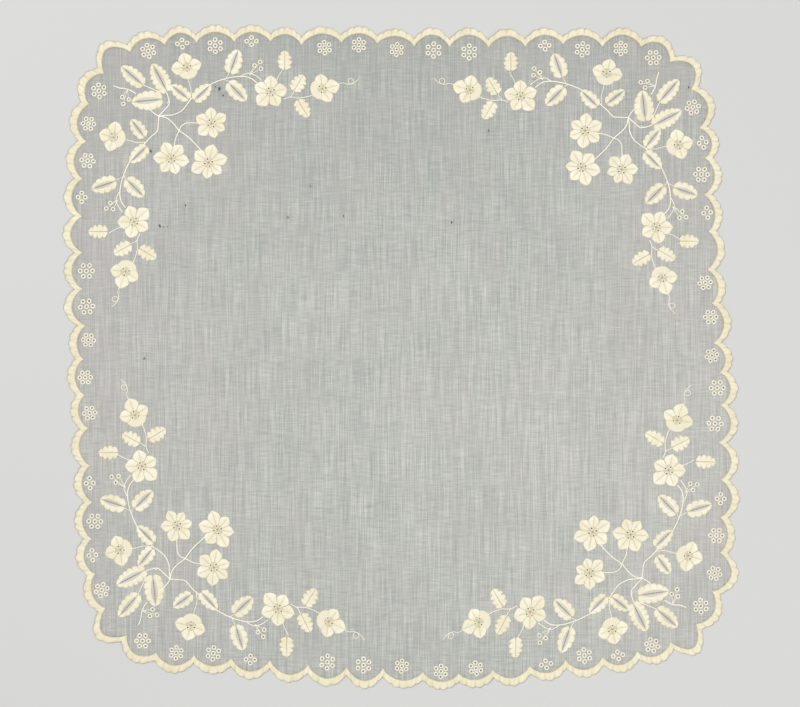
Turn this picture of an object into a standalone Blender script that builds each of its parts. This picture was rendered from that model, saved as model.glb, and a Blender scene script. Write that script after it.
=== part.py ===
"""A sheer white handkerchief, laid flat with its embroidered face up.

One square of muslin is one solid. Its edge is cut to sixty-four lobed scallops and
finished with a raised band of buttonhole stitch. A spray of padded flowers, open leaves
and small lobed leaves is raised in each corner.

Origin: centre of the cloth's outline, at its underside. +X and +Y run along the sides,
+Z is up, away from the surface that the cloth lies on. Lengths in the tables are in
millimetres, angles in degrees.
"""

from collections import namedtuple
from math import cos, pi, radians, sin

import bmesh
import bpy
from mathutils import Vector
from mathutils.geometry import delaunay_2d_cdt

MM = 0.001

# Thickness of the sheet, and how far the needlework stands above its face
CLOTH = 1.0
EDGE_RISE = 0.45
OUTER_RISE = 0.2
PETAL_RISE = 0.55
VEIN_RISE = 0.25
LEAF_RISE = 0.5

# Scalloped edge: fifteen scallops a side and one round each corner
SCALLOPS = 15
LOBE_DEPTH = 0.85
NIB = 0.9
NIB_SHARE = 0.08
EDGE_POINTS = 20
BAND_POINTS = 5

# Each side runs clockwise from its first cusp to its last. The cusps stand out from the
# straight line between those two, and slip along it from even spacing. The depths are how
# far the scallops reach beyond their cusps, and the lobes are how many waves each has, with
# their shift along it. The last scallop goes round the corner. The band is the stitched
# edge's width, and it ends in a nib inside each cusp.
Side = namedtuple("Side", "name start_x start_y end_x end_y band outs slips depths lobes shifts")
SIDES = (
    Side(
        "top", -168.9, 193.1, 170.2, 186.2, 4.1,
        (0, 5, 7, 8, 8.6, 6.7, 8.9, 8.7, 7.4, 7.5, 7.7, 8.6, 10.7, 9.5, 10.1, 0),
        (0, -0.3, -2.9, -1.9, -1.9, -5.4, -3.3, -3.4, -3.1, -4, -2.4, -2.5, -1.6, 0.4, 2.6, 0),
        (5.6, 6, 5.5, 5.2, 4.8, 5.5, 5.2, 4.7, 6.6, 6.8, 6, 5.6, 5.5, 6.6, 6.8, 9),
        (5, 4, 5, 4, 5, 3, 5, 5, 3, 5, 3, 4, 5, 5, 4, 5),
        (-0.05, 0, -0.05, 0.25, 0.35, -0.4, -0.3, -0.3, -0.1, -0.15, 0, -0.05, -0.15, -0.05, 0.2, 0.3),
    ),
    Side(
        "right", 184.7, 167.6, 186.9, -168.3, 4.4,
        (0, 5.2, 8.7, 7.9, 10.6, 9.5, 12.2, 13.1, 17, 17.3, 15.8, 17.2, 16.6, 16.3, 11.1, 0),
        (0, 2.4, -0.6, -0.3, 0.1, 1.3, -0.3, 1.9, -2.4, -3.9, -3.2, -2.5, -1.4, -1.7, 1.2, 0),
        (7.2, 5.2, 5.5, 4.6, 5.2, 4.7, 6.3, 4.5, 5.6, 6.2, 6.4, 6.2, 3.9, 8.7, 5.9, 10.5),
        (5, 5, 5, 5, 3, 4, 5, 4, 3, 4, 4, 4, 4, 5, 5, 4),
        (0.2, -0.1, -0.15, -0.45, 0.15, 0.15, -0.2, -0.35, -0.45, 0.3, 0, 0, -0.25, 0.05, -0.05, 0.3),
    ),
    Side(
        "bottom", 169.5, -180.8, -172.6, -176.2, 4.6,
        (0, 6.7, 10.6, 12.5, 16.6, 19.2, 21.9, 21.2, 19.4, 19, 18.1, 15.2, 14.4, 12.7, 11.4, 0),
        (0, -1.2, -2.4, -2.2, -2.9, -2.8, -4.2, -4.3, -2.3, -2.8, -1.5, -0.6, 0.5, 0.9, 2.5, 0),
        (5.4, 5.8, 6.3, 5.4, 5.6, 4.4, 4.9, 5.7, 7.3, 6.8, 6.6, 6.9, 5.1, 6.5, 6.6, 10.4),
        (4, 5, 4, 4, 4, 4, 5, 5, 4, 3, 4, 4, 4, 5, 5, 4),
        (-0.15, -0.3, 0.2, 0.05, 0.15, 0.3, -0.05, -0.3, 0, 0.35, 0.1, -0.1, 0.15, -0.3, -0.1, 0.2),
    ),
    Side(
        "left", -186.9, -157.8, -187.4, 178.8, 4.7,
        (0, 6.8, 9, 8.5, 10, 11.2, 13.2, 13.9, 12.5, 14.5, 14.5, 14.6, 14.5, 11.9, 10.1, 0),
        (0, -0.2, 0, 0.4, 0.3, 1.2, -0.8, -0.6, -2.4, -2.2, -1.9, -1.8, -0.7, 0.1, 1.5, 0),
        (4.7, 5.2, 5.3, 5.1, 5.4, 4.2, 4.9, 4.1, 6.9, 5.8, 6.5, 5.8, 5.7, 5.8, 6.2, 9.8),
        (4, 4, 5, 4, 6, 4, 4, 4, 3, 5, 4, 3, 4, 4, 4, 4),
        (0.05, -0.05, 0.45, 0.15, -0.3, -0.05, 0.15, 0.25, -0.5, -0.35, 0.15, -0.5, 0, -0.1, -0.15, 0.35),
    ),
)

# One spray is drawn for the top left corner, about its own centre, and turned for the rest.
SPRAY_X = -125.0
SPRAY_Y = 124.3
# In each corner the cloth has been pulled a little out of shape. The pulls, in millimetres
# along x and y, are a shift and then what grows with x, y, x squared, x times y and
# y squared, each at PULL_REACH from the spray's centre.
PULL_REACH = 60.0
Corner = namedtuple("Corner", "name quarter_turns pull_x pull_y")
CORNERS = (
    Corner("top_left", 0, (-3.3, -0.4, 0.8, 0.2, 0.2, -0.1), (6.5, -1.5, -1.4, -1.1, -0.7, 0.1)),
    Corner("top_right", 1, (-2.2, -1.6, -0.3, -0.1, 0.9, 0.3), (-1.3, -0.2, -0.4, -0.1, -0.7, 0.1)),
    Corner("bottom_right", 2, (-4.1, 0.1, 1.4, 0.1, -1.2, 0.8), (-5.5, 1.2, 0.7, 0.7, 1.6, 0.1)),
    Corner("bottom_left", 3, (8.5, 0.4, 2.5, -0.3, -0.3, -1.4), (-0.7, -0.8, 0.2, 0.5, -0.2, 0.1)),
)

# The group on the diagonal is worked once. The arm along the top is mirrored for the side,
# where each motif stands a little off its mirror image.
Flower = namedtuple("Flower", "x y radius petals turn side_x side_y", defaults=(0.0, 0.0))
MIDDLE_FLOWERS = (
    Flower(11.4, 14.6, 10.4, 6, 34),
    Flower(-13.5, -8.4, 11.0, 6, -7),
    Flower(9.9, -10.4, 11.4, 6, 17),
)
ARM_FLOWERS = (
    Flower(47.8, 36.6, 11.0, 5, 15, 0.6, -0.4),
    Flower(79.6, 40.8, 10.4, 3, 18, 0.2, 0.3),
    Flower(-4.2, 49.5, 10.0, 3, 104, -0.7, 0.1),
)
PETAL_NOTCH = 0.6
PETAL_SHOULDER = 0.9
PETAL_CROWN = 0.64
BELL_SPREAD = 78
BELL_BACK = 0.74
BELL_BACK_POINTS = 5

Leaf = namedtuple("Leaf", "tip_x tip_y base_x base_y width side_x side_y", defaults=(0.0, 0.0))
MIDDLE_LEAVES = (
    Leaf(-45.3, 49.5, -31.2, 37.5, 10.0),
    Leaf(-25.9, 51.4, -16.2, 33.5, 11.0),
    Leaf(-38.7, 26.9, -19.0, 29.2, 12.2),
)
ARM_LEAVES = (
    Leaf(-14.1, 38.1, -2.7, 29.3, 8.6, -2.0, 0.8),
    Leaf(10.6, 39.2, 0.2, 28.6, 9.0, 0.3, 0.0),
    Leaf(27.5, 62.3, 22.3, 46.7, 10.4, 0.1, 0.9),
    Leaf(32.8, 29.9, 21.2, 41.3, 10.2, -0.1, 0.3),
)
ARM_LEAFLETS = (
    Leaf(56.2, 63.6, 56.3, 51.0, 8.4, -2.0, 1.4),
    Leaf(68.0, 48.8, 62.0, 37.8, 8.6, 0.6, -0.1),
    Leaf(71.3, 21.7, 64.6, 32.8, 8.6, 0.4, 0.2),
)
LEAF_EDGE = ((0, 0.5), (0.15, 0.9), (0.42, 1.0), (0.68, 0.86), (0.88, 0.5))
LEAF_CROWN = ((0.14, 0.56), (0.45, 0.62), (0.76, 0.42))
LEAF_NOTCH = 0.1
LEAF_SLIT = (0.3, 0.55, 0.8)
LEAFLET_EDGE = ((0, 0.5), (0.14, 0.62), (0.38, 1.0), (0.52, 0.8), (0.74, 0.9), (0.94, 0.5))
LEAFLET_CROWN = (0.2, 0.45, 0.75)


MUSLIN_WHITE = (0.52, 0.52, 0.49, 1.0)
MUSLIN_ROUGHNESS = 0.9


def clear_scene():
    for item in list(bpy.data.objects):
        bpy.data.objects.remove(item)


def unit(angle):
    """Direction at an angle in degrees, anticlockwise from +X."""
    return Vector((cos(radians(angle)), sin(radians(angle))))


def left_of(direction):
    return Vector((-direction.y, direction.x))


def side_cusps(side):
    """The cusps between the scallops of one side, from its first to its last."""
    start = Vector((side.start_x, side.start_y))
    end = Vector((side.end_x, side.end_y))
    along = (end - start).normalized()
    outward = left_of(along)
    cusps = []
    for number, (out, slip) in enumerate(zip(side.outs, side.slips)):
        cusps.append(start.lerp(end, number / SCALLOPS) + along * slip + outward * out)
    return cusps


def scallop_ring(inset, points, lobed=False):
    """A closed ring of scallops, clockwise, inset from the edge by a share of the band."""
    cusps = [cusp for side in SIDES for cusp in side_cusps(side)]
    count = len(cusps)
    outward = []
    for index in range(count):
        outward.append(left_of((cusps[(index + 1) % count] - cusps[index - 1]).normalized()))
    bands = [side.band for side in SIDES for _ in side.outs]
    moved = [cusp - out * band * inset for cusp, out, band in zip(cusps, outward, bands)]
    scallops = [row for side in SIDES for row in zip(side.depths, side.lobes, side.shifts)]
    ring = []
    for index, (depth, lobes, shift) in enumerate(scallops):
        following = (index + 1) % count
        first, last = moved[index], moved[following]
        crest = left_of((last - first).normalized())
        for step in range(points):
            t = step / points
            arc = 4 * t * (1 - t)
            rise = depth * arc
            if lobed:
                rise += LOBE_DEPTH * abs(cos(pi * (lobes * t + shift))) * arc ** 0.35
            near, edge = (index, t) if t < 0.5 else (following, 1 - t)
            nib = NIB * inset * max(0, 1 - edge / NIB_SHARE)
            ring.append(first.lerp(last, t) + crest * rise - outward[near] * nib)
    return ring


class Relief:
    """Outline points, edges between them, and the height of the face at each point."""

    def __init__(self):
        self.points = []
        self.edges = []
        self.heights = []

    def add_point(self, point, height):
        self.points.append(Vector(point))
        self.heights.append(height)

    def add_ring(self, ring, height):
        first = len(self.points)
        for point in ring:
            self.add_point(point, height)
        count = len(ring)
        self.edges += [(first + n, first + (n + 1) % count) for n in range(count)]

    def add_line(self, line, height, start):
        """A chain of points that starts at a point already added."""
        for point in line:
            self.edges.append((start, len(self.points)))
            start = len(self.points)
            self.add_point(point, height)


def place_in_corner(corner, mirrored):
    """A function that takes a spray point to its place on the cloth."""
    quarter = unit(-90 * corner.quarter_turns)

    def place(point):
        x, y = (-point[1], -point[0]) if mirrored else point
        u, v = x / PULL_REACH, y / PULL_REACH
        terms = (1, u, v, u * u, u * v, v * v)
        local_x = SPRAY_X + x + sum(pull * term for pull, term in zip(corner.pull_x, terms))
        local_y = SPRAY_Y + y + sum(pull * term for pull, term in zip(corner.pull_y, terms))
        return quarter * local_x + left_of(quarter) * local_y

    return place


def flower_on_side(flower):
    return flower._replace(x=flower.x + flower.side_x, y=flower.y + flower.side_y)


def leaf_on_side(leaf):
    return leaf._replace(
        tip_x=leaf.tip_x + leaf.side_x,
        tip_y=leaf.tip_y + leaf.side_y,
        base_x=leaf.base_x + leaf.side_x,
        base_y=leaf.base_y + leaf.side_y,
    )


def flower_rings(flower):
    """A flower's outline, raised points and slit (it has none), in the spray's frame."""
    centre = Vector((flower.x, flower.y))
    bell = flower.petals == 3
    spread = BELL_SPREAD if bell else 360 / flower.petals
    middle_petal = (flower.petals - 1) / 2 if bell else 0
    outline = []
    crown = []
    for number in range(flower.petals):
        angle = flower.turn - (number - middle_petal) * spread
        for part, reach in ((0.5, PETAL_NOTCH), (0.24, PETAL_SHOULDER), (0, 1), (-0.24, PETAL_SHOULDER)):
            outline.append(centre + unit(angle + part * spread) * flower.radius * reach)
        for part in (0.2, -0.2):
            crown.append((centre + unit(angle + part * spread) * flower.radius * PETAL_CROWN, PETAL_RISE))
        crown.append((centre + unit(angle) * flower.radius * PETAL_CROWN, VEIN_RISE))
    if bell:
        last = flower.turn - middle_petal * spread - spread / 2
        gap = 360 - flower.petals * spread
        for number in range(BELL_BACK_POINTS + 1):
            angle = last - gap * number / (BELL_BACK_POINTS + 1)
            reach = PETAL_NOTCH if number == 0 else BELL_BACK
            outline.append(centre + unit(angle) * flower.radius * reach)
    crown.append((centre, VEIN_RISE))
    return outline, crown, ()


def across_leaf(leaf, along, across):
    """A point on a leaf: along from base to tip, across in half widths to its left."""
    base = Vector((leaf.base_x, leaf.base_y))
    tip = Vector((leaf.tip_x, leaf.tip_y))
    side = left_of((tip - base).normalized())
    return base.lerp(tip, along) + side * across * leaf.width / 2


def leaf_outline(leaf, notch, edge):
    left = [across_leaf(leaf, along, across) for along, across in edge]
    right = [across_leaf(leaf, along, -across) for along, across in edge]
    return [across_leaf(leaf, notch, 0), *right, across_leaf(leaf, 1, 0), *reversed(left)]


def leaf_rings(leaf):
    """An open leaf: two padded halves, with a slit between them that stays low."""
    crown = []
    for along, across in LEAF_CROWN:
        crown.append((across_leaf(leaf, along, across), LEAF_RISE))
        crown.append((across_leaf(leaf, along, -across), LEAF_RISE))
    slit = [across_leaf(leaf, along, 0) for along in LEAF_SLIT]
    return leaf_outline(leaf, LEAF_NOTCH, LEAF_EDGE), crown, slit


def leaflet_rings(leaf):
    """A small lobed leaf, padded all over."""
    crown = [(across_leaf(leaf, along, 0), LEAF_RISE) for along in LEAFLET_CROWN]
    return leaf_outline(leaf, 0, LEAFLET_EDGE), crown, ()


def add_spray(relief, corner):
    """One corner's spray: the middle group, and an arm along each side."""
    top = [flower_rings(flower) for flower in MIDDLE_FLOWERS + ARM_FLOWERS]
    top += [leaf_rings(leaf) for leaf in MIDDLE_LEAVES + ARM_LEAVES]
    top += [leaflet_rings(leaf) for leaf in ARM_LEAFLETS]
    side = [flower_rings(flower_on_side(flower)) for flower in ARM_FLOWERS]
    side += [leaf_rings(leaf_on_side(leaf)) for leaf in ARM_LEAVES]
    side += [leaflet_rings(leaf_on_side(leaf)) for leaf in ARM_LEAFLETS]
    for mirrored, motifs in ((False, top), (True, side)):
        place = place_in_corner(corner, mirrored)
        for outline, crown, slit in motifs:
            notch = len(relief.points)
            relief.add_ring([place(point) for point in outline], CLOTH)
            relief.add_line([place(point) for point in slit], CLOTH, notch)
            for point, rise in crown:
                relief.add_point(place(point), CLOTH + rise)


def cloth_relief():
    """All that shapes the face: the edge band and the four sprays."""
    relief = Relief()
    outer = scallop_ring(0, EDGE_POINTS, lobed=True)
    ridge = scallop_ring(0.5, BAND_POINTS)
    inner = scallop_ring(1, BAND_POINTS)
    relief.add_ring(outer, CLOTH + OUTER_RISE)
    relief.add_ring(ridge, CLOTH + EDGE_RISE)
    relief.add_ring(inner, CLOTH)
    for corner in CORNERS:
        add_spray(relief, corner)
    return relief


def cloth_mesh(relief):
    """A flat underside, raised straight up to a face that follows the relief."""
    points, _, faces, origins, _, _ = delaunay_2d_cdt(relief.points, relief.edges, [], 1, 1e-4)
    heights = [relief.heights[found[0]] if found else CLOTH for found in origins]
    low = Vector([min(p[axis] for p in points) for axis in range(2)])
    high = Vector([max(p[axis] for p in points) for axis in range(2)])
    middle = (low + high) / 2
    shape = bmesh.new()
    under = [shape.verts.new(((p.x - middle.x) * MM, (p.y - middle.y) * MM, 0)) for p in points]
    for face in faces:
        shape.faces.new([under[index] for index in face])
    shape.verts.index_update()
    raised = bmesh.ops.extrude_face_region(shape, geom=shape.faces[:], use_keep_orig=True)
    tops = [item for item in raised["geom"] if isinstance(item, bmesh.types.BMVert)]
    places = {(round(v.co.x, 9), round(v.co.y, 9)): heights[v.index] for v in under}
    for vertex in tops:
        vertex.co.z = places[(round(vertex.co.x, 9), round(vertex.co.y, 9))] * MM
    bmesh.ops.recalc_face_normals(shape, faces=shape.faces[:])
    mesh = bpy.data.meshes.new("handkerchief_cloth")
    shape.to_mesh(mesh)
    shape.free()
    return mesh


def muslin_material():
    material = bpy.data.materials.new("white_muslin")
    material.use_nodes = True
    shader = material.node_tree.nodes["Principled BSDF"]
    shader.inputs["Base Color"].default_value = MUSLIN_WHITE
    shader.inputs["Roughness"].default_value = MUSLIN_ROUGHNESS
    shader.inputs["Metallic"].default_value = 0.0
    return material


def make_handkerchief():
    collection = bpy.data.collections.new("handkerchief")
    bpy.context.scene.collection.children.link(collection)
    mesh = cloth_mesh(cloth_relief())
    mesh.materials.append(muslin_material())
    mesh.shade_smooth()
    mesh.set_sharp_from_angle(angle=radians(30))
    cloth = bpy.data.objects.new("handkerchief_cloth", mesh)
    collection.objects.link(cloth)
    return cloth


def main():
    clear_scene()
    make_handkerchief()


main()
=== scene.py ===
"""A handkerchief of sheer muslin, laid flat and face up.

The cloth is a thin sheet with real eyelet holes. On it lie the buttonhole-stitched edge,
the padded satin-stitch flowers and leaves, the eyelet rings and the corded stems.
Lengths in the tables are in millimetres and angles in degrees, unless they say otherwise.
"""

from collections import namedtuple
from math import cos, radians, sin, tau

import bpy
import numpy as np
from bpy.props import FloatProperty, FloatVectorProperty, PointerProperty
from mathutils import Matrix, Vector
from mathutils.geometry import delaunay_2d_cdt


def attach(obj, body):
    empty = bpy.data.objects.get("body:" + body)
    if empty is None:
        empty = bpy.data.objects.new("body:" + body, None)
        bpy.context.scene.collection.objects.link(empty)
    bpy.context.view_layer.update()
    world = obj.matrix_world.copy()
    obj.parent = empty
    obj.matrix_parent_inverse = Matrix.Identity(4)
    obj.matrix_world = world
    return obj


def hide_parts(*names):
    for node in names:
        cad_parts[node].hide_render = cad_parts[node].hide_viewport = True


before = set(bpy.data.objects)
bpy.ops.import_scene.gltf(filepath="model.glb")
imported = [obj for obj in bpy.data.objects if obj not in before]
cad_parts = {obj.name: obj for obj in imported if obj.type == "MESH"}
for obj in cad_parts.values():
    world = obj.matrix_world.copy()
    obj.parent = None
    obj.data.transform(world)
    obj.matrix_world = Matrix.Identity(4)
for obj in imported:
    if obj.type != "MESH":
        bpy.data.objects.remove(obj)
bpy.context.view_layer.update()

bl_info = {
    "name": "Whitework Handkerchief",
    "version": (1, 0, 0),
    "blender": (4, 5, 0),
    "location": "3D View > Sidebar > Handkerchief",
    "description": "A sheer muslin handkerchief with a scalloped edge and worked corners",
    "category": "Object",
}

MM = 0.001
CUT_TOLERANCE = 1e-4
CLOTH_NODE = "handkerchief_cloth"

# The scalloped edge, clockwise from the first cusp of the top side, as in the solid.
SCALLOPS = 15
LOBE_DEPTH = 0.85
NIB = 0.9
NIB_SHARE = 0.08
EDGE_POINTS = 20
EDGE_COLUMNS = 56
Side = namedtuple("Side", "name start_x start_y end_x end_y band outs slips depths lobes shifts")
SIDES = (
    Side(
        "top", -168.9, 193.1, 170.2, 186.2, 4.1,
        (0, 5, 7, 8, 8.6, 6.7, 8.9, 8.7, 7.4, 7.5, 7.7, 8.6, 10.7, 9.5, 10.1, 0),
        (0, -0.3, -2.9, -1.9, -1.9, -5.4, -3.3, -3.4, -3.1, -4, -2.4, -2.5, -1.6, 0.4, 2.6, 0),
        (5.6, 6, 5.5, 5.2, 4.8, 5.5, 5.2, 4.7, 6.6, 6.8, 6, 5.6, 5.5, 6.6, 6.8, 9),
        (5, 4, 5, 4, 5, 3, 5, 5, 3, 5, 3, 4, 5, 5, 4, 5),
        (-0.05, 0, -0.05, 0.25, 0.35, -0.4, -0.3, -0.3,
         -0.1, -0.15, 0, -0.05, -0.15, -0.05, 0.2, 0.3),
    ),
    Side(
        "right", 184.7, 167.6, 186.9, -168.3, 4.4,
        (0, 5.2, 8.7, 7.9, 10.6, 9.5, 12.2, 13.1, 17, 17.3, 15.8, 17.2, 16.6, 16.3, 11.1, 0),
        (0, 2.4, -0.6, -0.3, 0.1, 1.3, -0.3, 1.9, -2.4, -3.9, -3.2, -2.5, -1.4, -1.7, 1.2, 0),
        (7.2, 5.2, 5.5, 4.6, 5.2, 4.7, 6.3, 4.5, 5.6, 6.2, 6.4, 6.2, 3.9, 8.7, 5.9, 10.5),
        (5, 5, 5, 5, 3, 4, 5, 4, 3, 4, 4, 4, 4, 5, 5, 4),
        (0.2, -0.1, -0.15, -0.45, 0.15, 0.15, -0.2, -0.35,
         -0.45, 0.3, 0, 0, -0.25, 0.05, -0.05, 0.3),
    ),
    Side(
        "bottom", 169.5, -180.8, -172.6, -176.2, 4.6,
        (0, 6.7, 10.6, 12.5, 16.6, 19.2, 21.9, 21.2, 19.4, 19, 18.1, 15.2, 14.4, 12.7, 11.4, 0),
        (0, -1.2, -2.4, -2.2, -2.9, -2.8, -4.2, -4.3, -2.3, -2.8, -1.5, -0.6, 0.5, 0.9, 2.5, 0),
        (5.4, 5.8, 6.3, 5.4, 5.6, 4.4, 4.9, 5.7, 7.3, 6.8, 6.6, 6.9, 5.1, 6.5, 6.6, 10.4),
        (4, 5, 4, 4, 4, 4, 5, 5, 4, 3, 4, 4, 4, 5, 5, 4),
        (-0.15, -0.3, 0.2, 0.05, 0.15, 0.3, -0.05, -0.3, 0, 0.35, 0.1, -0.1, 0.15, -0.3, -0.1, 0.2),
    ),
    Side(
        "left", -186.9, -157.8, -187.4, 178.8, 4.7,
        (0, 6.8, 9, 8.5, 10, 11.2, 13.2, 13.9, 12.5, 14.5, 14.5, 14.6, 14.5, 11.9, 10.1, 0),
        (0, -0.2, 0, 0.4, 0.3, 1.2, -0.8, -0.6, -2.4, -2.2, -1.9, -1.8, -0.7, 0.1, 1.5, 0),
        (4.7, 5.2, 5.3, 5.1, 5.4, 4.2, 4.9, 4.1, 6.9, 5.8, 6.5, 5.8, 5.7, 5.8, 6.2, 9.8),
        (4, 4, 5, 4, 6, 4, 4, 4, 3, 5, 4, 3, 4, 4, 4, 4),
        (0.05, -0.05, 0.45, 0.15, -0.3, -0.05, 0.15, 0.25,
         -0.5, -0.35, 0.15, -0.5, 0, -0.1, -0.15, 0.35),
    ),
)

# A cluster of eyelets stands inside most scallops, by its count of rings, its distance
# from the cusps and the spacing of its rings. The slips move it along, side by side.
Cluster = namedtuple("Cluster", "rings inset spacing")
CLUSTERS = (
    Cluster(7, 5.9, 3.6), Cluster(4, 4.3, 3.0), Cluster(7, 6.6, 3.75), Cluster(4, 4.1, 3.0),
    Cluster(0, 0, 0), Cluster(7, 6.9, 3.4), Cluster(7, 5.6, 3.4), Cluster(7, 7.2, 3.3),
    Cluster(7, 6.5, 3.85), Cluster(7, 7.4, 3.85), Cluster(0, 0, 0), Cluster(4, 4.6, 2.7),
    Cluster(7, 6.9, 3.65), Cluster(7, 5.4, 3.4), Cluster(7, 6.8, 3.7),
)
CLUSTER_SLIPS = (
    (0.5, 1.2, 0, -0.5, 0, 1.5, -0.2, 1, 1, 0.2, 0, 0.2, 0.2, -1.2, -0.2),
    (-0.8, -0.5, -0.8, -0.5, 0, -3, -3.7, -2.5, -0.5, 0.2, 0, 0, 0, 0.8, -0.2),
    (0.8, 1.2, 0, 0.8, 0, -0.5, 0.2, 1, 0.8, 0.2, 0, 0, -0.2, -1.2, 0.5),
    (0.5, 1, -0.2, 0.5, 0, -1.2, -0.2, 2, 0, 0, 0, 0, 0, -1, -0.5),
)
RING_OUTER = 3.3
RING_HOLE = 1.2
RING_FILL = 0.94
DIAMOND_HEIGHT = 2.2

# One spray is drawn for the top left corner, about its own centre, and turned for the rest.
SPRAY_X = -125.0
SPRAY_Y = 124.3
# In each corner the cloth has been pulled a little out of shape. The pulls, in millimetres
# along x and y, are a shift and then what grows with x, y, x squared, x times y and
# y squared, each at PULL_REACH from the spray's centre.
PULL_REACH = 60.0
Corner = namedtuple("Corner", "name quarter_turns pull_x pull_y")
CORNERS = (
    Corner("top_left", 0, (-3.3, -0.4, 0.8, 0.2, 0.2, -0.1), (6.5, -1.5, -1.4, -1.1, -0.7, 0.1)),
    Corner("top_right", 1, (-2.2, -1.6, -0.3, -0.1, 0.9, 0.3), (-1.3, -0.2, -0.4, -0.1, -0.7, 0.1)),
    Corner("bottom_right", 2, (-4.1, 0.1, 1.4, 0.1, -1.2, 0.8), (-5.5, 1.2, 0.7, 0.7, 1.6, 0.1)),
    Corner("bottom_left", 3, (8.5, 0.4, 2.5, -0.3, -0.3, -1.4), (-0.7, -0.8, 0.2, 0.5, -0.2, 0.1)),
)

# A flower's petals are given by the angle and the reach of each tip.
# The arm along the top is mirrored for the side, where each motif stands a little off
# its mirror image.
Flower = namedtuple("Flower", "x y petals side_x side_y", defaults=(0.0, 0.0))
MIDDLE_FLOWERS = (
    Flower(11.4, 14.6, ((93, 10.4), (33, 10.8), (-25, 9.4), (-76, 9.6), (-137, 11.0), (158, 10.7))),
    Flower(
        -13.5, -8.4,
        ((115, 11.6), (52, 11.2), (-8, 11.6), (-70, 10.5), (-124, 10.4), (175, 11.5)),
    ),
    Flower(
        9.9, -10.4,
        ((77, 12.2), (17, 12.3), (-40, 10.6), (-96, 10.4), (-151, 12.3), (141, 11.2)),
    ),
)
ARM_FLOWERS = (
    Flower(47.8, 36.6, ((90, 10.6), (13, 10.6), (-62, 10.2), (-133, 12.2), (161, 10.8)), 0.6, -0.4),
    Flower(79.6, 40.8, ((97, 9.8), (18, 11.3), (-56, 9.6)), 0.2, 0.3),
    Flower(-4.2, 49.5, ((106, 9.7), (20, 9.4), (188, 10.2)), -0.7, 0.1),
)
# Where the columns of a petal stand, from its vein to its side, so that the vein is thin.
VEIN_COLUMNS = (0, 0.085, 0.24, 0.46, 0.7, 0.88, 1)
PETAL_BASE = 3.1
PETAL_CROWD = 48
HALF_BELL = 38
BELL_REACH = 7.6
CENTRE_REACH = 3.7
CENTRE_EYELETS = 2.35
CENTRE_RING_OUTER = 2.5
CENTRE_RING_HOLE = 1.0

Leaf = namedtuple("Leaf", "tip_x tip_y base_x base_y width side_x side_y", defaults=(0.0, 0.0))
MIDDLE_LEAVES = (
    Leaf(-45.3, 49.5, -31.2, 37.5, 10.0),
    Leaf(-25.9, 51.4, -16.2, 33.5, 11.0),
    Leaf(-38.7, 26.9, -19.0, 29.2, 12.2),
)
ARM_LEAVES = (
    Leaf(-14.1, 38.1, -2.7, 29.3, 8.6, -2.0, 0.8),
    Leaf(10.6, 39.2, 0.2, 28.6, 9.0, 0.3, 0.0),
    Leaf(27.5, 62.3, 22.3, 46.7, 10.4, 0.1, 0.9),
    Leaf(32.8, 29.9, 21.2, 41.3, 10.2, -0.1, 0.3),
)
ARM_LEAFLETS = (
    Leaf(56.2, 63.6, 56.3, 51.0, 8.4, -2.0, 1.4),
    Leaf(68.0, 48.8, 62.0, 37.8, 8.6, 0.6, -0.1),
    Leaf(71.3, 21.7, 64.6, 32.8, 8.6, 0.4, 0.2),
)
LOBE_LENGTH = 3.7
LEAF_LOBE_DEPTH = 1.0
LEAFLET_LOBE_DEPTH = 1.6
SLIT_SHARE = 0.27
LADDER_GAP = 0.28
NEEDLE_HOLE = 0.66
NEEDLE_STEP = 1.3

# Corded stems, as the points that they pass through and their width.
Stem = namedtuple("Stem", "width points")
MIDDLE_STEMS = (
    Stem(0.95, ((-21.6, 18.4), (-16.8, 17.4), (-12.7, 14.3), (-8.6, 9.5), (-2.4, 5.0), (4.4, -1.9),
                (6.2, -4.6))),
    Stem(0.85, ((4.8, 14.6), (1.4, 14.6), (-4.4, 14.3), (-7.5, 12.2), (-8.6, 9.5), (-11.0, 4.0),
                (-11.9, -1.6))),
    Stem(0.95, ((-21.6, 18.4), (-18.4, 22.0), (-15.2, 26.0), (-15.6, 29.6), (-16.8, 33.4))),
    Stem(0.95, ((-21.6, 18.4), (-24.6, 20.2), (-29.2, 24.2))),
    Stem(0.95, ((-36.0, 32.3), (-38.6, 34.0), (-42.3, 35.4), (-46.0, 35.8), (-50.1, 37.2))),
    Stem(0.5, ((-16.4, 26.4), (-15.0, 29.4))),
    Stem(0.7, ((-18.2, 32.6), (-22.6, 34.2), (-27.0, 36.0), (-31.6, 38.0))),
)
# The two arms leave the middle of the spray by different ways.
TOP_START = Stem(0.95, (
    (-21.6, 18.4), (-16.8, 19.0), (-12.7, 19.4), (-7.5, 21.9), (-4.0, 26.2), (-1.9, 29.4),
))
SIDE_START = Stem(0.95, ((-18.4, 21.6), (-13.4, 21.8), (-9.0, 22.4), (-5.0, 26.6), (-1.9, 29.4)))
ARM_STEMS = (
    Stem(0.95, ((-1.9, 29.4), (4.6, 35.0), (11.2, 39.8), (20.6, 43.7), (28.8, 45.3), (35.0, 44.6),
                (39.4, 41.6))),
    Stem(0.7, ((28.8, 45.3), (33.6, 47.6), (38.2, 46.4), (42.4, 43.4))),
    Stem(0.6, ((-1.9, 29.4), (-1.6, 35.0), (-2.9, 40.0), (-3.6, 43.6))),
    Stem(0.6, ((51.2, 43.0), (52.6, 47.0), (55.3, 51.8))),
    Stem(0.7, ((56.0, 32.4), (60.0, 34.0), (65.4, 33.8), (70.4, 35.0), (74.4, 36.6))),
    Stem(0.6, ((60.0, 34.0), (61.4, 36.0), (62.4, 38.0))),
    Stem(0.5, ((20.0, 43.4), (21.0, 45.6), (22.2, 47.8))),
    Stem(0.5, ((18.6, 42.9), (20.2, 42.4), (21.6, 41.4))),
)
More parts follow.
